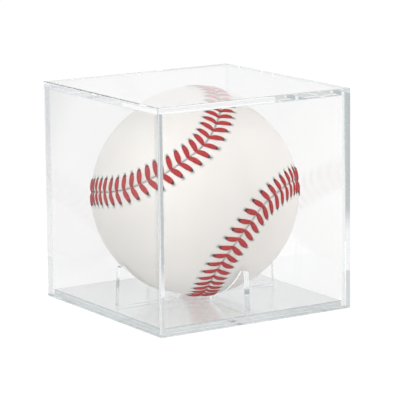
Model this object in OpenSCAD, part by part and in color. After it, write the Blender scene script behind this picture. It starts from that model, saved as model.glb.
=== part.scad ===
// Clear display cube for one ball: a lift-off cover of five bonded sheets over a base with a
// locating plate and a four-fin cradle, and the stitched ball that it shows, with its core.
// Millimetres, +Z up. The origin is the middle of the underside of the base plate.

/* [Ball] */
// Diameter of the ball over its leather
ball_d = 73.2; // [60:0.2:110]
// Thickness of the leather cover
leather_t = 1.2; // [0.8:0.1:2.5]
// Turn of the ball in its seat about X, Y and Z, in degrees
ball_turn = [58.6, 46.7, -32.1]; // [-180:0.1:180]

/* [Seam] */
// Latitude that the seam swings to on each side of its equator, in degrees
seam_swing = 65.6; // [60:0.1:72]
// How far the seam leads and lags its even turn about its axis, in degrees
seam_lead = 21.6; // [15:0.1:26]
// Gap between the edges of the two leather panels
seam_gap = 0.2; // [0.1:0.05:1]
// Stitches in the seam, each with one leg on either panel
stitch_count = 108; // [40:2:120]
// Length of one leg of a stitch
leg_len = 5; // [2:0.1:6]
// Width of a leg at its middle
leg_w = 1.8; // [1.2:0.05:2]
// Width of a leg at its two ends
leg_end_w = 0.9; // [0.4:0.05:1.1]
// Distance from the middle of the seam to where a leg starts
leg_start = 0.3; // [0.3:0.05:1]
// Height that a leg stands above the leather
leg_rise = 0.48; // [0.3:0.02:1]
// Angles at which the first and the second panel's legs lean back from square to the seam
leg_leans = [14, 24]; // [0:1:35]
// Gap under a leg, where the thread is pulled down on the leather
thread_fit = 0.02; // [0.01:0.01:0.1]

/* [Ball core] */
// Diameter of the cork in the middle
cork_d = 20.6; // [10:0.2:30]
// Thickness of the black rubber half shells round the cork
black_rubber_t = 3.9; // [1:0.1:6]
// Width of the ring that seals the two half shells
gasket_w = 1.6; // [0.8:0.1:3]
// Thickness of the red rubber round the half shells
red_rubber_t = 2.5; // [1:0.1:4]
// Thickness of the white wool winding
white_wool_t = 1.8; // [0.8:0.1:4]
// Thickness of the outer grey wool winding
outer_wool_t = 1.9; // [0.8:0.1:4]
// Thickness of the cotton winding under the leather
cotton_t = 0.5; // [0.3:0.05:1.5]
// Gap between one layer and the next
layer_fit = 0.05; // [0.02:0.01:0.3]

/* [Cover] */
// Thickness of the cover's sheets
sheet_t = 2.6; // [1.5:0.1:6]
// Gap between the ball and each wall of the cover
side_gap = 0.3; // [0.2:0.05:15]
// Gap between the ball and the top of the cover
head_gap = 0.2; // [0.1:0.05:15]
// Bevel on the outer edges of the case
edge_bevel = 0.35; // [0.1:0.05:0.8]

/* [Base] */
// Thickness of the full-width plate that the cover stands on
base_t = 1.2; // [1:0.1:6]
// Thickness of the plate that locates the cover from inside
locating_t = 1.6; // [0.8:0.1:6]
// Gap all round between the locating plate and the cover
cover_fit = 0.15; // [0.05:0.05:0.5]
// Bevel that leads the cover on to the locating plate
lead_bevel = 0.3; // [0.1:0.05:0.5]

/* [Cradle] */
// Thickness of each fin
fin_t = 2.2; // [1.2:0.1:5]
// Distance from the middle of the case to the outer end of a fin
fin_reach = 32.5; // [20:0.5:36]
// Distance from the middle of the case to the inner end of a fin
fin_start = 9; // [6:0.5:14]
// Height of a fin at its outer end, above the floor of the case
fin_h = 14.5; // [6:0.5:18]
// Lean of a fin's outer end towards the middle, in degrees
fin_rake = 4; // [0:0.5:8]
// Radius on the outer top corner of a fin
fin_round = 0.8; // [0.2:0.1:2]
// Gap between the ball and the curved edges that seat it
seat_gap = 0.15; // [0.05:0.05:0.5]
// Gap between the ball and the floor of the case
floor_gap = 0.2; // [0.1:0.05:5]

/* [Hidden] */

clear = [0.82, 0.9, 0.95, 0.35];
round_fn = 96;

// The ball, from the outside in
ball_r = ball_d / 2;
crest_r = ball_r + thread_fit + leg_rise;
leather_in = ball_r - leather_t;
cotton_out = leather_in - layer_fit;
cotton_in = cotton_out - cotton_t;
outer_wool_out = cotton_in - layer_fit;
outer_wool_in = outer_wool_out - outer_wool_t;
white_wool_out = outer_wool_in - layer_fit;
white_wool_in = white_wool_out - white_wool_t;
inner_wool_out = white_wool_in - layer_fit;

// The ball's core, from the middle out
cork_r = cork_d / 2;
black_rubber_in = cork_r + layer_fit;
black_rubber_out = black_rubber_in + black_rubber_t;
red_rubber_in = black_rubber_out + layer_fit;
red_rubber_out = red_rubber_in + red_rubber_t;
inner_wool_in = red_rubber_out + layer_fit;

// The case, built out from the ball
inside_w = 2 * (crest_r + side_gap);
case_w = inside_w + 2 * sheet_t;
floor_z = base_t + locating_t;
ball_z = floor_z + floor_gap + crest_r;
ceiling_z = ball_z + crest_r + head_gap;
locating_w = inside_w - 2 * cover_fit;
seat_r = crest_r + seat_gap;

// The seam is followed for two turns of its axis, in even steps
seam_turns = 720;
seam_steps = 240;
function seam_turn(i) = seam_turns * i / seam_steps;

// Unit vector to the seam at turn t
function seam(t) =
    let (lat = seam_swing * cos(t), lon = t / 2 + seam_lead * sin(2 * t))
    [cos(lat) * cos(lon), cos(lat) * sin(lon), sin(lat)];

function unit(v) = v / norm(v);

// Unit vector along the seam at turn t, and the one square to it in the surface
function along(t) = unit(seam(t + 0.5) - seam(t - 0.5));
function across(t) = unit(cross(seam(t), along(t)));

// The seam's length so far at each step, to place the stitches at even spaces
function seam_step(i) = norm(seam(seam_turn(i + 1)) - seam(seam_turn(i)));
seam_run = [for (i = 0, run = 0; i <= seam_steps; run = run + seam_step(i), i = i + 1)
    [run, seam_turn(i)]];
seam_len = seam_run[seam_steps][0];
function stitch_turn(k) = lookup(seam_len * k / stitch_count, seam_run);

// Rows and columns of the cutter that gives a leather panel its outline
panel_rows = 72;
panel_cols = 6;
cutter_r = 1.25 * ball_r;

// A row of the cutter runs from one edge of the panel to its mirror image in the XZ plane
function panel_edge(t) = unit(seam(t) - across(t) * seam_gap / 2 / ball_r);
function row_point(p, f) =
    let (half = asin(p[1]), mid = unit([p[0], 0, p[2]]))
    [mid[0] * cos(half * f), sin(half * f), mid[2] * cos(half * f)];

module shell(outer, inner) {
    difference() {
        sphere(outer, $fn = round_fn);
        sphere(inner, $fn = round_fn);
    }
}

// Everything on the ball is drawn about its centre in the seam's own axes
module seat_ball() {
    translate([0, 0, ball_z]) rotate(ball_turn) children();
}

// A cone from the ball's centre through the edge of one leather panel
module panel_cutter() {
    turns = [for (i = [0:panel_rows]) 360 * i / panel_rows];
    fractions = [for (j = [0:panel_cols]) 1 - 2 * j / panel_cols];
    inner_rows = [for (i = [1:panel_rows - 1], f = fractions)
        cutter_r * row_point(panel_edge(turns[i]), f)];
    first_tip = cutter_r * panel_edge(turns[0]);
    last_tip = cutter_r * panel_edge(turns[panel_rows]);
    points = concat([[0, 0, 0], first_tip, last_tip], inner_rows);
    last_row = panel_rows - 2;
    function at(i, j) = 3 + i * (panel_cols + 1) + j;
    cap = [for (i = [0:last_row - 1], j = [0:panel_cols - 1], half = [0, 1]) half == 0
        ? [at(i, j), at(i + 1, j), at(i + 1, j + 1)]
        : [at(i, j), at(i + 1, j + 1), at(i, j + 1)]];
    first_end = [for (j = [0:panel_cols - 1]) [1, at(0, j), at(0, j + 1)]];
    last_end = [for (j = [0:panel_cols - 1]) [2, at(last_row, j + 1), at(last_row, j)]];
    side_1 = [for (i = [0:last_row - 1]) [0, at(i + 1, 0), at(i, 0)]];
    side_2 = [for (i = [0:last_row - 1]) [0, at(i, panel_cols), at(i + 1, panel_cols)]];
    tips = [[0, at(0, 0), 1], [0, 1, at(0, panel_cols)],
        [0, 2, at(last_row, 0)], [0, at(last_row, panel_cols), 2]];
    polyhedron(points, concat(cap, first_end, last_end, side_1, side_2, tips));
}

module leather_panel() {
    intersection() {
        shell(ball_r, leather_in);
        panel_cutter();
    }
}

// One leg of a stitch: a swelling bar of thread with its underside pulled flat on the leather
module stitch_leg() {
    crown_r = (pow(leg_w / 2, 2) + pow(leg_rise, 2)) / (2 * leg_rise);
    sunk = crown_r - leg_rise;
    end_r = norm([leg_end_w / 2, sunk]);
    function swell(f) = end_r + (crown_r - end_r) * (1 - f * f);
    profile = [for (f = [-1, -0.55, 0, 0.55, 1]) [swell(f), f * leg_len / 2]];
    translate([0, 0, ball_r + thread_fit - sunk]) intersection() {
        rotate([0, 90, 0]) rotate_extrude($fn = round_fn / 2)
            polygon(concat([[0, -leg_len / 2]], profile, [[0, leg_len / 2]]));
        translate([-leg_len, -leg_w, sunk]) cube([2 * leg_len, 2 * leg_w, leg_w]);
    }
}

// Turns the middle of a leg from +Z to where it lies beside stitch k; side is -1 or 1
module place_leg(k, side) {
    t = stitch_turn(k);
    lean = side < 0 ? leg_leans[0] : leg_leans[1];
    heading = side * cos(lean) * across(t) - sin(lean) * along(t);
    turn = (leg_len / 2 + leg_start) / ball_r * 180 / PI;
    up = cos(turn) * seam(t) + sin(turn) * heading;
    out = cos(turn) * heading - sin(turn) * seam(t);
    beside = cross(up, out);
    multmatrix([[out[0], beside[0], up[0], 0], [out[1], beside[1], up[1], 0],
        [out[2], beside[2], up[2], 0], [0, 0, 0, 1]]) children();
}

// A square plate with bevelled upright corners
module square_plate(w, t, bevel) {
    linear_extrude(t) polygon([for (a = [0:90:270], e = [0, 1])
        let (x = w / 2 - (e == 0 ? 0 : bevel), y = w / 2 - (e == 0 ? bevel : 0))
        [x * cos(a) - y * sin(a), x * sin(a) + y * cos(a)]]);
}

// Cuts the bevel round the top edge of a square plate of width w whose top is at z
module edge_cut(w, z, bevel) {
    for (a = [0:90:270]) rotate([0, 0, a]) translate([w / 2, 0, z]) rotate([0, 45, 0])
        cube([bevel * sqrt(2), 2 * w, bevel * sqrt(2)], center = true);
}

module base_plate() {
    color(clear) difference() {
        square_plate(case_w, base_t, edge_bevel);
        edge_cut(case_w, 0, edge_bevel);
    }
}

module locating_plate() {
    color(clear) translate([0, 0, base_t]) difference() {
        square_plate(locating_w, locating_t, lead_bevel);
        edge_cut(locating_w, locating_t, lead_bevel);
    }
}

// A fin stands on edge along +X; its upper edge follows the ball, and its outer end is raked
module cradle_fin() {
    ball_over_floor = ball_z - floor_z;
    round_z = fin_h - fin_round;
    round_x = fin_reach - round_z * tan(fin_rake) - fin_round / cos(fin_rake);
    rake_side = [cos(fin_rake), sin(fin_rake)];
    rake_end = [round_x, round_z] + fin_round * rake_side;
    translate([0, fin_t / 2, floor_z]) rotate([90, 0, 0]) linear_extrude(fin_t) difference() {
        union() {
            polygon([[fin_start, 0], [fin_reach, 0], rake_end, [round_x, round_z],
                [round_x, fin_h], [fin_start, fin_h]]);
            translate([round_x, round_z]) circle(fin_round, $fn = 32);
        }
        translate([0, ball_over_floor]) circle(seat_r, $fn = 2 * round_fn);
    }
}

module cradle_fin_front() {
    color(clear) rotate([0, 0, -90]) cradle_fin();
}

module cradle_fin_right() {
    color(clear) cradle_fin();
}

module cradle_fin_back() {
    color(clear) rotate([0, 0, 90]) cradle_fin();
}

module cradle_fin_left() {
    color(clear) rotate([0, 0, 180]) cradle_fin();
}

module cover_top() {
    color(clear) translate([0, 0, ceiling_z]) difference() {
        square_plate(case_w, sheet_t, edge_bevel);
        edge_cut(case_w, sheet_t, edge_bevel);
    }
}

// The front and back sheets run the full width; the side sheets fit between them
module full_wall() {
    translate([0, 0, base_t]) linear_extrude(ceiling_z - base_t) polygon([
        [-case_w / 2, sheet_t - case_w / 2],
        [-case_w / 2, edge_bevel - case_w / 2],
        [edge_bevel - case_w / 2, -case_w / 2],
        [case_w / 2 - edge_bevel, -case_w / 2],
        [case_w / 2, edge_bevel - case_w / 2],
        [case_w / 2, sheet_t - case_w / 2]]);
}

module side_wall() {
    translate([inside_w / 2, -inside_w / 2, base_t])
        cube([sheet_t, inside_w, ceiling_z - base_t]);
}

module cover_front() {
    color(clear) full_wall();
}

module cover_back() {
    color(clear) rotate([0, 0, 180]) full_wall();
}

module cover_right() {
    color(clear) side_wall();
}

module cover_left() {
    color(clear) rotate([0, 0, 180]) side_wall();
}

module leather_panel_1() {
    color([0.95, 0.94, 0.9]) seat_ball() leather_panel();
}

// The second panel is the first, turned over about the axis that swaps the two
module leather_panel_2() {
    color([0.95, 0.94, 0.9]) seat_ball() rotate(180, [1, 1, 0]) leather_panel();
}

module seam_stitching() {
    color([0.78, 0.12, 0.16]) seat_ball()
        for (k = [0:stitch_count - 1], side = [-1, 1]) place_leg(k, side) stitch_leg();
}

module cotton_winding() {
    color([0.93, 0.92, 0.88]) seat_ball() shell(cotton_out, cotton_in);
}

module outer_wool_winding() {
    color([0.6, 0.6, 0.58]) seat_ball() shell(outer_wool_out, outer_wool_in);
}

module white_wool_winding() {
    color([0.9, 0.89, 0.84]) seat_ball() shell(white_wool_out, white_wool_in);
}

module inner_wool_winding() {
    color([0.62, 0.61, 0.58]) seat_ball() shell(inner_wool_out, inner_wool_in);
}

module red_rubber_layer() {
    color([0.7, 0.16, 0.12]) seat_ball() shell(red_rubber_out, red_rubber_in);
}

// Two half shells, held apart by the gasket
module black_rubber_shells() {
    cut = gasket_w + 2 * layer_fit;
    color([0.12, 0.12, 0.12]) seat_ball() difference() {
        shell(black_rubber_out, black_rubber_in);
        cube([2 * ball_r, 2 * ball_r, cut], center = true);
    }
}

module rubber_gasket() {
    color([0.75, 0.2, 0.15]) seat_ball() intersection() {
        shell(black_rubber_out, black_rubber_in);
        cube([2 * ball_r, 2 * ball_r, gasket_w], center = true);
    }
}

module cork_core() {
    color([0.72, 0.55, 0.36]) seat_ball() sphere(cork_r, $fn = round_fn);
}

base_plate();
locating_plate();
cradle_fin_front();
cradle_fin_right();
cradle_fin_back();
cradle_fin_left();
cover_top();
cover_front();
cover_back();
cover_left();
cover_right();
leather_panel_1();
leather_panel_2();
seam_stitching();
cotton_winding();
outer_wool_winding();
white_wool_winding();
inner_wool_winding();
red_rubber_layer();
black_rubber_shells();
rubber_gasket();
cork_core();
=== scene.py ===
"""Looks for a clear display cube and the stitched ball inside it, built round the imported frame."""
import math
import random

import bmesh
import bpy
from mathutils import Euler, Matrix, Vector, kdtree


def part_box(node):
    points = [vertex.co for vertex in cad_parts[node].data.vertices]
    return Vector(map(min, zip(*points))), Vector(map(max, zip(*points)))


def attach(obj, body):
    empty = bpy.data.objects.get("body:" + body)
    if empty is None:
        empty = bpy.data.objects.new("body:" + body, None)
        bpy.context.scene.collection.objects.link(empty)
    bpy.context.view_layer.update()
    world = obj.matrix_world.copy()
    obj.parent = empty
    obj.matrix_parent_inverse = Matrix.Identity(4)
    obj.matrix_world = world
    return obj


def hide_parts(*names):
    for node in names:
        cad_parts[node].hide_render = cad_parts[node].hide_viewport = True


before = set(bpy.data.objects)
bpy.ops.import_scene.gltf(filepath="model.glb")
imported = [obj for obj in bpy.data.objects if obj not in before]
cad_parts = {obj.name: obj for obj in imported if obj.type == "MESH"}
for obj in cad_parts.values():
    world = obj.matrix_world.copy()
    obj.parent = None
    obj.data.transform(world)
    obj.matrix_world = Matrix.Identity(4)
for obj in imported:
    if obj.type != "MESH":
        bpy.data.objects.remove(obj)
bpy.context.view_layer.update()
MM = 0.001

# ---------------------------------------------------------------- sizes read from the frame
TOP_LOW, TOP_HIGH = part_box("cover_top")
PLATE_LOW, PLATE_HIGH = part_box("base_plate")
LOCATOR_LOW, LOCATOR_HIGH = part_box("locating_plate")
PANEL_1_LOW, PANEL_1_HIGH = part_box("leather_panel_1")
PANEL_2_LOW, PANEL_2_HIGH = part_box("leather_panel_2")
CASE_HALF = TOP_HIGH.x
INSIDE_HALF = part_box("cover_right")[0].x
CEILING = TOP_LOW.z
RIM = PLATE_HIGH.z
FLOOR = LOCATOR_HIGH.z
BALL_TOP = max(PANEL_1_HIGH.z, PANEL_2_HIGH.z)
BALL_BOTTOM = min(PANEL_1_LOW.z, PANEL_2_LOW.z)
BALL_MIDDLE = Vector((0, 0, (BALL_TOP + BALL_BOTTOM) / 2))

# ---------------------------------------------------------------- sizes of the case's details
SHEET_ROUND = 0.35 * MM
PLATE_ROUND = 0.3 * MM
FOOT_GAP = 0.05 * MM
# Points closer than this lie on the same line, and a face whose normal reaches this far along
# a direction faces that way.
SAME_PLACE = 0.05 * MM
FACING = 0.9

# ---------------------------------------------------------------- sizes of the cradle's fins
FIN_TURNS = {"front": -90, "right": 0, "back": 90, "left": 180}
FIN_T = 2.2 * MM
FIN_REACH = 32.5 * MM
FIN_START = 9 * MM
FIN_H = 14.5 * MM
FIN_RAKE = math.radians(4)
FIN_ROUND = 0.8 * MM
FIN_ROUND_STEPS = 6
FIN_EDGE_ROUND = 0.12 * MM
SEAT_R = 37.25 * MM
SEAT_STEPS = 32

# ---------------------------------------------------------------- sizes of the ball's leather
BALL_R = 36.6 * MM
BALL_TURN = Euler([math.radians(a) for a in (58.6, 46.7, -32.1)]).to_matrix()
SEAM_SWING = math.radians(65.6)
SEAM_LEAD = math.radians(21.6)
SEAM_PIECES = 3600
SEAM_NUDGE = 0.01
LEATHER_T = 1.2 * MM
# The leather dips to its cut edge at the seam and swells a little beside the stitches.
EDGE_DIP = 0.42 * MM
EDGE_DIP_REACH = 0.75 * MM
EDGE_DIP_FALL = 1.6
SWELL = 0.03 * MM
SWELL_AT = 2.3 * MM
SWELL_REACH = 1.2 * MM
SEAM_SHADE_REACH = 0.36 * MM
# Distances of a panel's fine rings from the seam, and the columns that fill its two faces.
BAND_MM = [0.08, 0.25, 0.5, 0.8, 1.2, 1.7, 2.3, 3.0, 3.6, 4.15, 4.65, 5.1, 5.6, 6.2, 7.0]
OUTER_COLUMNS = 36
INNER_COLUMNS = 14

# ---------------------------------------------------------------- sizes of the stitches
STITCHES = 108
STEPS_PER_STITCH = 8
STITCH_SEED = 11
LEG_START = 0.1 * MM
LEG_LENGTH = 5.3 * MM
LEG_LEANS = {-1: math.radians(14), 1: math.radians(24)}
LEG_HALF_WIDTH = 0.98 * MM
LEG_RISE = 0.47 * MM
LEG_BOW = 0.16 * MM
LEG_ROUNDNESS = 0.62
LEG_RINGS = 16
LEG_SIDES = 12
# How far the legs differ from one another: degrees of heading, and shares of their sizes.
STRAY_DEGREES = (-1.6, 1.6)
LENGTH_SPREAD = (0.97, 1.03)
WIDTH_SPREAD = (0.93, 1.06)
BOW_SPREAD = (0.6, 1.3)
# A leg swells and narrows as this stretch of a sine's arch, at these powers.
ARCH_START = 0.12
ARCH_SPAN = 0.80
WIDTH_POWER = 0.55
HEIGHT_POWER = 0.5
# Shares of a leg's length: where it dives into its hole, and where painted shade darkens it there
# and how fast.
DIVE_FROM = 0.84
DARK_FROM = 0.83
DARK_OVER = 0.06
LEG_DIVE = 0.42 * MM

# ---------------------------------------------------------------- sizes of the needle holes
HOLE_R = 0.3 * MM
HOLE_DEPTH = 0.5 * MM
HOLE_LIP_DIP = 0.04 * MM
HOLE_LIP_SHADE = 0.45
# A hole is punched in the panel whose band, from this ring on, comes this close to it.
HOLE_FIRST_RING = 7
HOLE_FARTHEST = 0.6 * MM

# ---------------------------------------------------------------- camera
CAMERA_AZIMUTH = math.radians(-32.33)
CAMERA_ELEVATION = math.radians(10.91)
CAMERA_ROLL = math.radians(-0.606)
CAMERA_DISTANCE = 0.9206
CAMERA_FARTHEST = 20
CASE_MIDDLE = Vector((0, 0, 40 * MM))
FOCAL_PX = 2543.3
AIM_X_PX = -4.009
AIM_Y_PX = -6.174
PICTURE_PX = 400
SENSOR_MM = 36


# ---------------------------------------------------------------- colours
def tone(red, green, blue):
    """A colour from its 0 to 255 screen levels."""
    def linear(level):
        share = level / 255
        return share / 12.92 if share <= 0.04045 else ((share + 0.055) / 1.055) ** 2.4
    return (linear(red), linear(green), linear(blue), 1)


def grey(level):
    return (level, level, level, 1)


BLACK = grey(0)
WHITE = grey(1)
OFF_WHITE = grey(0.93)
DIM_SIDE = (0.71, 0.73, 0.73, 1)
DIM_TABLE = (0.56, 0.58, 0.58, 1)
PALE_TABLE = (0.8, 0.8, 0.82, 1)

# ---------------------------------------------------------------- studio
# It is white behind the case and dimmer to its sides, which the sheets' edges pick up. A sweep
# runs from the camera's left to its right, across one metre of the table or across the world.
LEVEL = (math.cos(CAMERA_AZIMUTH), math.sin(CAMERA_AZIMUTH), 0)
TABLE_SWEEP = [(0.39, DIM_TABLE), (0.435, WHITE), (0.6, WHITE), (0.8, PALE_TABLE)]
WORLD_SWEEP = [(0.08, DIM_SIDE), (0.2, OFF_WHITE)]
TABLE_HALF = 6
TABLE_DROP = 0.3 * MM
TABLE_MIRRORED = grey(0.4)
TABLE_GLOW = 1.1
TABLE_GLOW_SHARE = 0.86
SOFT_LIGHT = 0.72
LAMPS = {
    "key_lamp": {"place": (0.3, -1.25, 0.7), "size": 0.7, "power": 3.8},
    "fill_lamp": {"place": (-1.35, 0.05, 0.7), "size": 0.9, "power": 6},
    "side_lamp": {"place": (1.16, -0.65, 0.44), "size": 0.6, "power": 2},
}
BOUNCES = 96
CLEAR_BOUNCES = 48


def place_camera():
    az, el, roll = CAMERA_AZIMUTH, CAMERA_ELEVATION, CAMERA_ROLL
    back = Vector((math.sin(az) * math.cos(el), -math.cos(az) * math.cos(el), math.sin(el)))
    level = Vector(LEVEL)
    rise = back.cross(level)
    across = math.cos(roll) * level + math.sin(roll) * rise
    up = math.cos(roll) * rise - math.sin(roll) * level
    per_px = CAMERA_DISTANCE / FOCAL_PX
    lens = bpy.data.cameras.new("camera")
    lens.sensor_width = SENSOR_MM
    lens.lens = FOCAL_PX / PICTURE_PX * SENSOR_MM
    lens.clip_end = CAMERA_FARTHEST
    camera = bpy.data.objects.new("camera", lens)
    pose = Matrix((across, up, back)).transposed().to_4x4()
    pose.translation = (CASE_MIDDLE + back * CAMERA_DISTANCE
                        - across * AIM_X_PX * per_px + up * AIM_Y_PX * per_px)
    camera.matrix_world = pose
    bpy.context.scene.collection.objects.link(camera)
    bpy.context.scene.camera = camera


# ---------------------------------------------------------------- shader arithmetic
class Wire:
    """A shader socket: arithmetic on it adds Math nodes to its tree."""

    def __init__(self, finish, socket):
        self.finish, self.socket = finish, socket

    def other(self, out):
        """Another output of the same node."""
        return Wire(self.finish, self.socket.node.outputs[out])

    def maths(self, operation, *values, clamp=False):
        settings = {"operation": operation, "use_clamp": clamp}
        return self.finish.node("Math", settings, dict(enumerate(values)))

    def __add__(self, other):
        return self.maths("ADD", self, other)

    def __radd__(self, other):
        return self.maths("ADD", other, self)

    def __sub__(self, other):
        return self.maths("SUBTRACT", self, other)

    def __rsub__(self, other):
        return self.maths("SUBTRACT", other, self)

    def __mul__(self, other):
        return self.maths("MULTIPLY", self, other)

    def __rmul__(self, other):
        return self.maths("MULTIPLY", other, self)

    def most(self, other):
        return self.maths("MAXIMUM", self, other)

    def wave(self):
        """Rises and falls between 0 and 1 as the value runs through each turn, in radians."""
        return self.maths("SINE", self) * 0.5 + 0.5

    def clamp(self):
        return self.maths("ADD", self, 0.0, clamp=True)


class Finish:
    """A new material, or a world, under construction, with one method that adds any node."""

    def __init__(self, owner):
        self.owner = owner if isinstance(owner, bpy.types.World) else bpy.data.materials.new(owner)
        self.owner.use_nodes = True
        self.tree = self.owner.node_tree
        self.tree.nodes.clear()

    def node(self, kind, settings=None, values=None, out=0):
        made = self.tree.nodes.new("ShaderNode" + kind)
        for key, value in (settings or {}).items():
            if key == "stops":
                set_stops(made.color_ramp, value)
            else:
                setattr(made, key, value)
        for key, value in (values or {}).items():
            if isinstance(value, Wire):
                self.tree.links.new(value.socket, made.inputs[key])
            else:
                made.inputs[key].default_value = value
        return Wire(self, made.outputs[out])

    def place(self):
        """Where a point of the piece lies, in millimetres."""
        spot = self.node("TexCoord", out="Object")
        return self.node("VectorMath", {"operation": "SCALE"}, {0: spot, "Scale": 1 / MM})

    def noise(self, where, scale, detail=3.0):
        return self.node("TexNoise", None, {"Vector": where, "Scale": scale, "Detail": detail})

    def mark(self, name):
        """A value that the mesh carries at its points."""
        return self.node("Attribute", {"attribute_name": name}, out="Fac")

    def ramp(self, factor, stops):
        return self.node("ValToRGB", {"stops": stops}, {"Fac": factor})

    def mix(self, factor, first, second):
        return self.node("Mix", {"data_type": "RGBA"}, {0: factor, 6: first, 7: second}, out=2)

    def mix_shaders(self, factor, first, second):
        return self.node("MixShader", None, {0: factor, 1: first, 2: second})

    def bump(self, height, strength, distance):
        return self.node("Bump", None,
                         {"Strength": strength, "Distance": distance, "Height": height})

    def along(self, spot, way):
        """How far a place, or a direction, reaches in a given way."""
        return self.node("VectorMath", {"operation": "DOT_PRODUCT"}, {0: spot, 1: way}, out="Value")

    def ray(self, kind):
        return self.node("LightPath", out=f"Is {kind} Ray")

    def seen(self):
        """1 where a surface or the world is looked at, straight or by way of the acrylic."""
        return (self.ray("Camera") + self.ray("Glossy") + self.ray("Transmission")).clamp()

    def studio(self, sweep, mirrored):
        """White to the camera, an even grey in a reflection, and the sweep through the acrylic."""
        bounced = (self.ray("Glossy") - self.ray("Transmission")).clamp()
        return self.mix(self.ray("Camera"), self.mix(bounced, sweep, mirrored), WHITE)

    def surface(self, **values):
        named = {key.replace("_", " "): value for key, value in values.items()}
        return self.node("BsdfPrincipled", None, named)

    def done(self, shader, volume=None):
        kind = "World" if isinstance(self.owner, bpy.types.World) else "Material"
        end = self.tree.nodes.new("ShaderNodeOutput" + kind)
        self.tree.links.new(shader.socket, end.inputs["Surface"])
        if volume:
            self.tree.links.new(volume.socket, end.inputs["Volume"])
        return self.owner


def set_stops(ramp, stops):
    """stops is a list of (place, colour)."""
    while len(ramp.elements) > 1:
        ramp.elements.remove(ramp.elements[-1])
    ramp.elements[0].position, ramp.elements[0].color = stops[0]
    for place, colour in stops[1:]:
        ramp.elements.new(place).color = colour


# ---------------------------------------------------------------- finishes
def clear_acrylic(name, polish):
    """Cast sheet: clear, faintly cool in its depth, with polish marks; polish is its roughness."""
    f = Finish(name)
    where = f.place()
    haze = f.noise(where, 0.05, 2.0)
    drawn_out = f.node("Mapping", {"vector_type": "POINT"},
                       {"Vector": where, "Scale": (0.15, 0.15, 3.0)})
    marks = f.noise(drawn_out, 1.0, 2.0)
    rough = f.ramp(marks * haze, [(0.30, BLACK), (0.55, grey(0.03))]) + polish
    tint = f.mix(haze, tone(252, 252, 252), tone(254, 254, 254))
    glass = f.surface(Base_Color=tint, Roughness=rough, IOR=1.49, Transmission_Weight=1.0)
    through = f.node("BsdfTransparent", None, {"Color": grey(0.965)})
    depth = f.node("VolumeAbsorption", None, {"Color": (0.9, 0.935, 0.945, 1), "Density": 1.4})
    return f.done(f.mix_shaders(f.ray("Shadow"), glass, through), depth)


def bonded_face():
    """A solvent-bonded joint: nearly nothing is seen of it but a faint cloud."""
    f = Finish("bonded_joint")
    share = f.ramp(f.noise(f.place(), 0.6), [(0.45, BLACK), (0.8, grey(0.10))])
    clear = f.node("BsdfTransparent", None, {"Color": (0.985, 0.99, 0.99, 1)})
    film = f.surface(Base_Color=tone(228, 232, 234), Roughness=0.3)
    return f.done(f.mix_shaders(share, clear, film))


def white_leather():
    """Alum-tanned horsehide: warm white, with fine pores, creases and handling marks, painted shade
    along the seam's groove and in the needle holes.
    """
    f = Finish("white_leather")
    where = f.place()
    cloud = f.noise(where, 0.06, 4.0)
    mottle = f.noise(where, 0.7)
    pores = f.node("TexVoronoi", {"feature": "F1"}, {"Vector": where, "Scale": 2.6})
    creases = f.node("TexVoronoi", {"feature": "DISTANCE_TO_EDGE"}, {"Vector": where, "Scale": 0.9})
    hide = f.mix(cloud, tone(248, 245, 242), tone(243, 239, 234))
    hide = f.mix(mottle * 0.25, hide, tone(234, 228, 220))
    # Painted shade along the seam's groove.
    hide = f.mix(f.mark("seam_shade") * 0.55, hide, tone(112, 92, 84))
    # Painted shade in the needle holes and on their lips.
    hide = f.mix((f.mark("needle_hole") * 1.25).clamp(), hide, tone(38, 30, 28))
    grain = pores * 0.5 + creases.clamp() * 0.3 + mottle * 0.4
    return f.done(f.surface(Base_Color=hide, Roughness=mottle * 0.2 + 0.38,
                            Specular_IOR_Level=0.4,
                            Normal=f.bump(grain, 0.25, 0.06 * MM)))


def red_thread():
    """Waxed cotton cord: red, two plies twisted, paler where it is rubbed, with painted shade along
    the twist and at its ends, where it dives into its holes.
    """
    plies, twist = 2, 22.0
    f = Finish("red_thread")
    length = f.node("SeparateXYZ", None, {0: f.node("UVMap", {"uv_map": "thread"})})
    ply = (length * twist + length.other("Y") * (plies * 2 * math.pi)).wave()
    fibre = f.noise(f.place(), 3.5)
    base = f.mix(fibre, tone(168, 6, 16), tone(198, 18, 26))
    # Painted shade that follows the twist of the plies.
    base = f.mix((ply - 0.55).clamp() * 0.6, base, tone(112, 4, 14))
    # Painted shade at the end of each leg, where the cord dives into its needle hole.
    base = f.mix(f.mark("leg_end"), base, tone(24, 8, 10))
    return f.done(f.surface(Base_Color=base, Roughness=fibre * 0.2 + 0.6,
                            Specular_IOR_Level=0.25,
                            Normal=f.bump(ply * 0.6 + fibre * 0.4, 0.5, 0.08 * MM)))


def wound_yarn(name, pale, dark, thickness):
    """Yarn wound in many directions: crossing strands with fuzz between them, and painted shade in
    the gaps between strands.
    """
    f = Finish(name)
    where = f.place()
    bend = f.noise(where, 0.12, 2.0) * 9.0
    layers = [(f.along(where, way) * (2 * math.pi / thickness) + bend).wave()
              for way in ((0.3, 1.0, 0.2), (1.0, -0.4, 0.6), (-0.5, 0.3, 1.0))]
    strands = layers[0].most(layers[1]).most(layers[2])
    # Darker where no strand lies: painted shade in the gaps between strands, with the fuzz's noise
    # on top.
    shade = strands * 0.7 + f.noise(where, 4.0, 4.0) * 0.3
    return f.done(f.surface(Base_Color=f.mix(shade, dark, pale), Roughness=0.9,
                            Normal=f.bump(shade, 0.6, 0.3 * MM)))


def moulded_rubber(name, pale, dark):
    """Rubber from a mould: a soft cloud of colour and a fine grit."""
    f = Finish(name)
    where = f.place()
    cloud = f.noise(where, 0.15)
    grit = f.noise(where, 5.0)
    return f.done(f.surface(Base_Color=f.mix(cloud, pale, dark), Roughness=cloud * 0.2 + 0.5,
                            Normal=f.bump(grit, 0.2, 0.05 * MM)))


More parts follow.
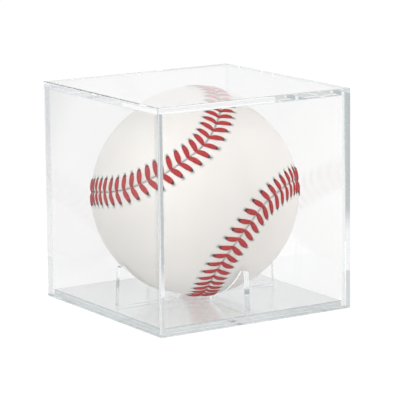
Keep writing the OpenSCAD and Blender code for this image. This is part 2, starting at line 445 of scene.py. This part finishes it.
def cork():
    """Pressed cork: grains of many browns with dark flecks between them."""
    f = Finish("cork_grain")
    where = f.place()
    cells = f.node("TexVoronoi", {"feature": "F1"}, {"Vector": where, "Scale": 0.7})
    spread = f.node("SeparateXYZ", None, {0: cells.other("Color")})
    flecks = f.noise(where, 1.6, 4.0)
    body = f.mix(spread, tone(196, 150, 98), tone(150, 104, 62))
    body = f.mix(f.ramp(flecks, [(0.58, BLACK), (0.66, WHITE)]), body, tone(84, 52, 30))
    return f.done(f.surface(Base_Color=body, Roughness=0.8,
                            Normal=f.bump(flecks + cells, 0.4, 0.15 * MM)))


# ---------------------------------------------------------------- mesh helpers
def new_piece(name, mesh, materials, body, stands_for):
    piece = bpy.data.objects.new(name, mesh)
    bpy.context.scene.collection.objects.link(piece)
    for material in materials:
        mesh.materials.append(material)
    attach(piece, body)
    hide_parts(*stands_for)


def mesh_from(bm, name, smooth=False):
    mesh = bpy.data.meshes.new(name)
    bmesh.ops.recalc_face_normals(bm, faces=bm.faces)
    bm.to_mesh(mesh)
    bm.free()
    if smooth:
        mesh.polygons.foreach_set("use_smooth", [True] * len(mesh.polygons))
    return mesh


def join_rings(bm, first, second):
    """A closed strip of faces between two rings of as many points."""
    count = len(first)
    return [bm.faces.new((first[i], first[(i + 1) % count], second[(i + 1) % count], second[i]))
            for i in range(count)]


def round_edges(bm, edges, radius, segments):
    bmesh.ops.bevel(bm, geom=edges, offset=radius, segments=segments, profile=0.5,
                    affect="EDGES", clamp_overlap=True)


def near(value, target):
    return abs(value - target) < SAME_PLACE


def on_rim(spot, half):
    return near(abs(spot.x), half) or near(abs(spot.y), half)


def clear_block(name, node, low, high, finishes, body, rounded, cuts, bonded, radius=SHEET_ROUND):
    """A sheet or plate. rounded picks the edges to round by their middles, cuts part the faces at
    the joints, and bonded picks the faces that are bonded to a neighbour."""
    bm = bmesh.new()
    size = Matrix.Diagonal((*(high - low), 1))
    bmesh.ops.create_cube(bm, size=1, matrix=Matrix.Translation((low + high) / 2) @ size)
    picked = [e for e in bm.edges if rounded((e.verts[0].co + e.verts[1].co) / 2)]
    round_edges(bm, picked, radius, segments=3)
    for axis, value in cuts:
        normal = Vector((0, 0, 0))
        normal[axis] = 1
        geometry = list(bm.verts) + list(bm.edges) + list(bm.faces)
        bmesh.ops.bisect_plane(bm, geom=geometry, dist=1e-7,
                               plane_co=normal * value, plane_no=normal)
    bmesh.ops.recalc_face_normals(bm, faces=bm.faces)
    for face in bm.faces:
        face.material_index = 1 if bonded(face.calc_center_median(), face.normal) else 0
    new_piece(name, mesh_from(bm, name), finishes, body, [node])


# ---------------------------------------------------------------- the clear case
def both_ways(*places):
    """Cuts across x and across y, at each place either side of the middle."""
    return [(axis, sign * place) for axis in (0, 1) for sign in (-1, 1) for place in places]


def build_cover(finishes):
    outer, inner, foot = CASE_HALF, INSIDE_HALF, RIM + FOOT_GAP

    def outside_corner(mid):
        return near(abs(mid.x), outer) and near(abs(mid.y), outer)

    def top_edge(mid):
        return outside_corner(mid) or (near(mid.z, TOP_HIGH.z) and on_rim(mid, outer))

    clear_block(
        "cover_top_sheet", "cover_top", TOP_LOW, TOP_HIGH, finishes, "cover", top_edge,
        both_ways(inner), lambda c, n: n.z < -FACING and max(abs(c.x), abs(c.y)) > inner)
    for name, side in (("front", -1), ("back", 1)):
        low = Vector((-outer, min(side * inner, side * outer), foot))
        high = Vector((outer, max(side * inner, side * outer), CEILING))

        def bonded(c, n, side=side):
            return n.z > FACING or (n.y * side < -FACING and abs(c.x) > inner)

        clear_block(f"cover_{name}_sheet", f"cover_{name}", low, high, finishes, "cover",
                    outside_corner, [(0, -inner), (0, inner)], bonded)
    for name, side in (("left", -1), ("right", 1)):
        low = Vector((min(side * inner, side * outer), -inner, foot))
        high = Vector((max(side * inner, side * outer), inner, CEILING))
        clear_block(f"cover_{name}_sheet", f"cover_{name}", low, high, finishes, "cover",
                    lambda mid: False, [], lambda c, n: n.z > FACING or abs(n.y) > FACING)


def build_base(finishes, satin):
    plate_half, locator_half = PLATE_HIGH.x, LOCATOR_HIGH.x

    def under_fin(c, n):
        far, beside = max(abs(c.x), abs(c.y)), min(abs(c.x), abs(c.y))
        return n.z < -FACING or (
            n.z > FACING and beside < FIN_T / 2 and FIN_START < far < FIN_REACH)

    clear_block(
        "case_base_plate", "base_plate", PLATE_LOW, PLATE_HIGH, finishes, "base",
        lambda mid: on_rim(mid, plate_half) and not near(mid.z, RIM), both_ways(locator_half),
        lambda c, n: n.z > FACING and max(abs(c.x), abs(c.y)) < locator_half, PLATE_ROUND)
    clear_block(
        "case_locating_plate", "locating_plate", LOCATOR_LOW, LOCATOR_HIGH, satin, "base",
        lambda mid: on_rim(mid, locator_half) and not near(mid.z, LOCATOR_LOW.z),
        both_ways(FIN_T / 2, FIN_START, FIN_REACH), under_fin, PLATE_ROUND)


def fin_outline():
    """Points of a fin's side, outward and up from the middle of the case's floor."""
    ball_up = BALL_MIDDLE.z - FLOOR
    round_z = FIN_H - FIN_ROUND
    round_x = FIN_REACH - round_z * math.tan(FIN_RAKE) - FIN_ROUND / math.cos(FIN_RAKE)
    points = [(FIN_START, 0), (FIN_REACH, 0)]
    for i in range(FIN_ROUND_STEPS + 1):
        a = FIN_RAKE + (math.pi / 2 - FIN_RAKE) * i / FIN_ROUND_STEPS
        points.append((round_x + FIN_ROUND * math.cos(a), round_z + FIN_ROUND * math.sin(a)))
    first = math.asin((ball_up - FIN_H) / SEAT_R)
    last = math.acos(FIN_START / SEAT_R)
    for i in range(SEAT_STEPS + 1):
        a = first + (last - first) * i / SEAT_STEPS
        points.append((SEAT_R * math.cos(a), ball_up - SEAT_R * math.sin(a)))
    return points


def build_fins(finishes):
    def side_edge(edge):
        start, end = (vert.co for vert in edge.verts)
        off_floor = (start.z + end.z) / 2 > FLOOR + 2 * SAME_PLACE
        return off_floor and near(abs(start.y), FIN_T / 2) and near(start.y, end.y)

    for name, turn in FIN_TURNS.items():
        bm = bmesh.new()
        sides = [[bm.verts.new((x, y, FLOOR + z)) for x, z in fin_outline()]
                 for y in (-FIN_T / 2, FIN_T / 2)]
        bm.faces.new(sides[0])
        bm.faces.new(reversed(sides[1]))
        join_rings(bm, sides[0][::-1], sides[1][::-1])
        picked = [edge for edge in bm.edges if side_edge(edge)]
        round_edges(bm, picked, FIN_EDGE_ROUND, segments=2)
        bmesh.ops.recalc_face_normals(bm, faces=bm.faces)
        for face in bm.faces:
            face.material_index = 1 if face.normal.z < -FACING else 0
        bmesh.ops.rotate(bm, verts=bm.verts, matrix=Matrix.Rotation(math.radians(turn), 3, "Z"))
        new_piece(f"cradle_{name}_fin", mesh_from(bm, f"cradle_{name}_fin"), finishes, "base",
                  [f"cradle_fin_{name}"])


# ---------------------------------------------------------------- the ball's seam
def seam(t):
    """The seam's point at turn t, on a ball of radius 1; it closes after two whole turns."""
    lat = SEAM_SWING * math.cos(t)
    lon = t / 2 + SEAM_LEAD * math.sin(2 * t)
    return Vector((math.cos(lat) * math.cos(lon), math.cos(lat) * math.sin(lon), math.sin(lat)))


def seam_axes(t):
    """At turn t: the seam's own point, and the unit vectors along it and square to it."""
    here = seam(t)
    along = (seam(t + SEAM_NUDGE) - seam(t - SEAM_NUDGE)).normalized()
    along = (along - here * along.dot(here)).normalized()
    return here, along, here.cross(along)


def even_turns(count):
    """Turns at even spaces along the whole seam, worked out over its first half and mirrored."""
    run, total = [0.0], 0.0
    points = [seam(2 * math.pi * i / SEAM_PIECES) for i in range(SEAM_PIECES + 1)]
    for i in range(SEAM_PIECES):
        total += (points[i + 1] - points[i]).length
        run.append(total)
    turns, j = [], 0
    for i in range(count // 2 + 1):
        goal = total * i / (count // 2)
        while j < SEAM_PIECES - 1 and run[j + 1] < goal:
            j += 1
        share = (goal - run[j]) / (run[j + 1] - run[j])
        turns.append(2 * math.pi * (j + min(share, 1)) / SEAM_PIECES)
    return turns + [4 * math.pi - t for t in reversed(turns[1:-1])]


STITCH_TURNS = even_turns(STITCHES)
EDGE_TURNS = even_turns(STITCHES * STEPS_PER_STITCH)


def leather_dip(gap):
    """How far the leather lies below the ball's round, at a distance from the seam."""
    edge = EDGE_DIP * math.exp(-(gap / EDGE_DIP_REACH) ** EDGE_DIP_FALL)
    swell = SWELL * math.exp(-((gap - SWELL_AT) / SWELL_REACH) ** 2)
    return edge - swell


def leg_heading(k, side):
    """Where a leg of stitch k leaves the seam, and the unit vector that it sets out along."""
    here, along, across = seam_axes(STITCH_TURNS[k])
    lean = LEG_LEANS[side]
    return here, side * math.cos(lean) * across - math.sin(lean) * along


def arc_point(here, heading, reach):
    """Unit vectors up and outward, at a distance from here along an arc of the ball."""
    turn = reach / BALL_R
    up = math.cos(turn) * here + math.sin(turn) * heading
    out = math.cos(turn) * heading - math.sin(turn) * here
    return up, out


def on_ball(p):
    return BALL_MIDDLE + BALL_TURN @ p


def turned_over(p):
    """Takes panel 1 to panel 2 and the seam to itself."""
    return Vector((p.y, p.x, -p.z))


# ---------------------------------------------------------------- the ball's leather
def nearest_among(points):
    """A tree whose find gives the nearest of the points, its number and how far off it is."""
    tree = kdtree.KDTree(len(points))
    for i, point in enumerate(points):
        tree.insert(point, i)
    tree.balance()
    return tree


def fill_across(bm, edge, columns, make_vert):
    """Rows of faces from each point of a closed edge to its mirror image across the XZ plane."""
    count = len(edge)
    rows = [[edge[0]]]
    for i in range(1, count // 2):
        left, right = edge[i].co.normalized(), edge[count - i].co.normalized()
        reach = left.angle(right)
        row = [edge[i]]
        for c in range(1, columns):
            share = c / columns
            row.append(make_vert((math.sin(reach * (1 - share)) * left
                                  + math.sin(reach * share) * right) / math.sin(reach)))
        rows.append(row + [edge[count - i]])
    rows.append([edge[count // 2]])
    for row, following in zip(rows, rows[1:]):
        if len(row) == 1 or len(following) == 1:
            tip, fan = (row, following) if len(row) == 1 else (following, row)
            for c in range(columns):
                bm.faces.new((tip[0], fan[c], fan[c + 1]))
        else:
            for c in range(columns):
                bm.faces.new((row[c], row[c + 1], following[c + 1], following[c]))


def panel_mesh(name, flip):
    """A closed leather panel: a fine band that follows the seam, a middle, a cut edge, a back."""
    bm = bmesh.new()
    # Marks for painted shade: in the needle holes and along the seam's groove.
    hole_shade_layer = bm.verts.layers.float.new("needle_hole")
    shade_layer = bm.verts.layers.float.new("seam_shade")
    line = nearest_among([seam(t) for t in EDGE_TURNS])

    def outer_vert(p):
        gap = line.find(p)[2] * BALL_R
        vert = bm.verts.new(p * (BALL_R - leather_dip(gap)))
        # Painted shade that fades with the distance from the seam.
        vert[shade_layer] = math.exp(-(gap / SEAM_SHADE_REACH) ** 2)
        return vert

    def inner_vert(p):
        return bm.verts.new(p * (BALL_R - LEATHER_T))

    rings = []
    for distance in BAND_MM:
        rings.append([])
        for t in EDGE_TURNS:
            here, _, across = seam_axes(t)
            rings[-1].append(outer_vert(arc_point(here, -across, distance * MM)[0]))
    for near_ring, far_ring in zip(rings, rings[1:]):
        join_rings(bm, near_ring, far_ring)
    fill_across(bm, rings[-1], OUTER_COLUMNS, outer_vert)
    back = [inner_vert(vert.co.normalized()) for vert in rings[0]]
    join_rings(bm, back, rings[0])
    fill_across(bm, back, INNER_COLUMNS, inner_vert)
    punch_holes(rings, flip, hole_shade_layer)
    for vert in bm.verts:
        vert.co = on_ball(turned_over(vert.co) if flip else vert.co)
    return mesh_from(bm, name, smooth=True)


def punch_holes(rings, flip, hole_shade_layer):
    """Draws the grid round each needle hole into a small pit, and marks it for painted shade."""
    count = len(rings[0])
    inside = [(r, i) for r in range(HOLE_FIRST_RING, len(rings) - 1) for i in range(count)]
    tree = nearest_among([rings[r][i].co.normalized() for r, i in inside])
    holes = [arc_point(*leg_heading(k, side), LEG_START + LEG_LENGTH)[0]
             for k in range(STITCHES) for side in (-1, 1)]
    around = [(dr, di) for dr in (-1, 0, 1) for di in (-1, 0, 1) if (dr, di) != (0, 0)]
    for hole in holes:
        p = turned_over(hole) if flip else hole
        _, n, gap = tree.find(p)
        if gap * BALL_R > HOLE_FARTHEST:
            continue
        r, i = inside[n]
        middle = rings[r][i]
        old = middle.co.normalized()
        for dr, di in around:
            lip = rings[r + dr][(i + di) % count]
            way = lip.co.normalized() - old
            way = (way - p * way.dot(p)).normalized()
            lip.co = (p + way * HOLE_R / BALL_R).normalized() * (BALL_R - HOLE_LIP_DIP)
            lip[hole_shade_layer] = HOLE_LIP_SHADE
        middle.co = p * (BALL_R - HOLE_DEPTH)
        middle[hole_shade_layer] = 1.0


def build_leather(finish):
    for number, flip in ((1, False), (2, True)):
        name = f"leather_cover_{number}"
        new_piece(name, panel_mesh(name, flip), [finish], "ball",
                  [f"leather_panel_{number}"])


# ---------------------------------------------------------------- the ball's stitches
def leg_rings(bm, end_shade_layer, k, side, draw):
    """Rings of points round one bowed and flattened leg of cord, from the seam to its hole."""
    here, heading = leg_heading(k, side)
    stray = math.radians(draw.uniform(*STRAY_DEGREES))
    heading = Matrix.Rotation(stray, 3, here) @ heading
    length = LEG_LENGTH * draw.uniform(*LENGTH_SPREAD)
    width = LEG_HALF_WIDTH * draw.uniform(*WIDTH_SPREAD)
    bow = LEG_BOW * draw.uniform(*BOW_SPREAD)
    rings = []
    for r in range(LEG_RINGS + 1):
        share = r / LEG_RINGS
        reach = LEG_START + length * share
        up, out = arc_point(here, heading, reach)
        beside = up.cross(out) * side
        swell = math.sin(math.pi * (ARCH_START + ARCH_SPAN * share))
        wide = width * swell ** WIDTH_POWER
        tall = LEG_RISE * swell ** HEIGHT_POWER
        dive = LEG_DIVE * max(0, (share - DIVE_FROM) / (1 - DIVE_FROM)) ** 2
        floor = BALL_R - leather_dip(reach * math.cos(LEG_LEANS[side])) - dive
        middle = beside * bow * 4 * share * (1 - share)
        ring = []
        for a in range(LEG_SIDES):
            angle = 2 * math.pi * a / LEG_SIDES
            rise = tall * (1 - LEG_ROUNDNESS + LEG_ROUNDNESS * math.sin(angle))
            p = up * (floor + rise) + middle + beside * wide * math.cos(angle)
            vert = bm.verts.new(on_ball(p))
            # Painted shade towards the hole, carried to the thread's finish.
            vert[end_shade_layer] = min(1, max(0, (share - DARK_FROM) / DARK_OVER))
            ring.append(vert)
        rings.append(ring)
    return rings


def build_stitches(finish):
    """One leg of cord either side of the seam for each stitch."""
    draw = random.Random(STITCH_SEED)
    bm = bmesh.new()
    end_shade_layer = bm.verts.layers.float.new("leg_end")
    uv_layer = bm.loops.layers.uv.new("thread")
    for k in range(STITCHES):
        for side in (-1, 1):
            rings = leg_rings(bm, end_shade_layer, k, side, draw)
            for r in range(LEG_RINGS):
                for a, face in enumerate(join_rings(bm, rings[r], rings[r + 1])):
                    corners = ((r, a), (r, a + 1), (r + 1, a + 1), (r + 1, a))
                    for loop, (row, column) in zip(face.loops, corners):
                        loop[uv_layer].uv = (row / LEG_RINGS, column / LEG_SIDES)
            bm.faces.new(list(reversed(rings[0])))
            bm.faces.new(rings[-1])
    new_piece("seam_stitches", mesh_from(bm, "seam_stitches", smooth=True), [finish],
              "ball", ["seam_stitching"])


# ---------------------------------------------------------------- the ball's core
def dress_core():
    """The layers inside the ball keep their own solids and take a finish each."""
    grey_wool = tone(176, 172, 164), tone(104, 100, 94)
    white_wool = tone(238, 234, 222), tone(170, 164, 150)
    cotton = tone(240, 236, 226), tone(176, 168, 152)
    finishes = {
        "cotton_winding": wound_yarn("cotton_yarn", *cotton, 0.6),
        "outer_wool_winding": wound_yarn("outer_grey_wool", *grey_wool, 1.3),
        "white_wool_winding": wound_yarn("white_wool", *white_wool, 1.3),
        "inner_wool_winding": wound_yarn("inner_grey_wool", *grey_wool, 1.8),
        "red_rubber_layer": moulded_rubber("red_rubber", tone(176, 58, 48), tone(142, 38, 32)),
        "black_rubber_shells": moulded_rubber("black_rubber", tone(44, 44, 44), tone(22, 22, 22)),
        "rubber_gasket": moulded_rubber("gasket_rubber", tone(186, 70, 56), tone(150, 44, 36)),
        "cork_core": cork(),
    }
    for node, finish in finishes.items():
        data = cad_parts[node].data
        data.materials.clear()
        data.materials.append(finish)


# ---------------------------------------------------------------- table, background and lamps
def add_table():
    """A pale table that looks white and still takes the case's soft shadow."""
    bm = bmesh.new()
    bmesh.ops.create_grid(bm, x_segments=8, y_segments=8, size=TABLE_HALF,
                          matrix=Matrix.Translation((0, 0, -TABLE_DROP)))
    mesh = bpy.data.meshes.new("table")
    bm.to_mesh(mesh)
    bm.free()
    table = bpy.data.objects.new("table", mesh)
    bpy.context.scene.collection.objects.link(table)
    f = Finish("pale_table")
    paint = f.mix(f.noise(f.place(), 0.02, 2.0), grey(0.82), grey(0.8))
    lit = f.node("BsdfDiffuse", None, {"Color": paint})
    aside = f.along(f.node("TexCoord", out="Object"), LEVEL)
    shine = f.studio(f.ramp(aside + 0.5, TABLE_SWEEP), TABLE_MIRRORED)
    glow = f.node("Emission", None, {"Color": shine, "Strength": TABLE_GLOW})
    mesh.materials.append(f.done(f.mix_shaders(f.seen() * TABLE_GLOW_SHARE, lit, glow)))


def add_world():
    """The studio as it is looked at, and an even soft white for the light that it gives."""
    world = bpy.data.worlds.new("studio")
    bpy.context.scene.world = world
    f = Finish(world)
    aside = f.along(f.node("TexCoord", out="Generated"), LEVEL)
    shine = f.studio(f.ramp(aside * 0.5 + 0.5, WORLD_SWEEP), OFF_WHITE)
    soft = f.node("Background", None, {"Color": WHITE, "Strength": SOFT_LIGHT})
    backdrop = f.node("Background", None, {"Color": shine, "Strength": 1.0})
    f.done(f.mix_shaders(f.seen(), soft, backdrop))


def add_lamp(name, place, size, power):
    """A square lamp that faces the middle of the case."""
    light = bpy.data.lights.new(name, "AREA")
    light.shape = "SQUARE"
    light.size = size
    light.energy = power
    lamp = bpy.data.objects.new(name, light)
    lamp.location = place
    lamp.rotation_euler = (CASE_MIDDLE - Vector(place)).to_track_quat("-Z", "Y").to_euler()
    bpy.context.scene.collection.objects.link(lamp)


def light_studio():
    add_world()
    for name, lamp in LAMPS.items():
        add_lamp(name, **lamp)
    bpy.context.scene.view_settings.view_transform = "Standard"
    cycles = bpy.context.scene.cycles
    cycles.max_bounces = BOUNCES
    cycles.transmission_bounces = BOUNCES
    cycles.glossy_bounces = BOUNCES
    cycles.transparent_max_bounces = CLEAR_BOUNCES


place_camera()
bond = bonded_face()
case_finishes = [clear_acrylic("clear_acrylic", polish=0.0), bond]
build_cover(case_finishes)
build_base(case_finishes, [clear_acrylic("satin_acrylic", polish=0.19), bond])
build_fins(case_finishes)
build_leather(white_leather())
build_stitches(red_thread())
dress_core()
add_table()
light_studio()
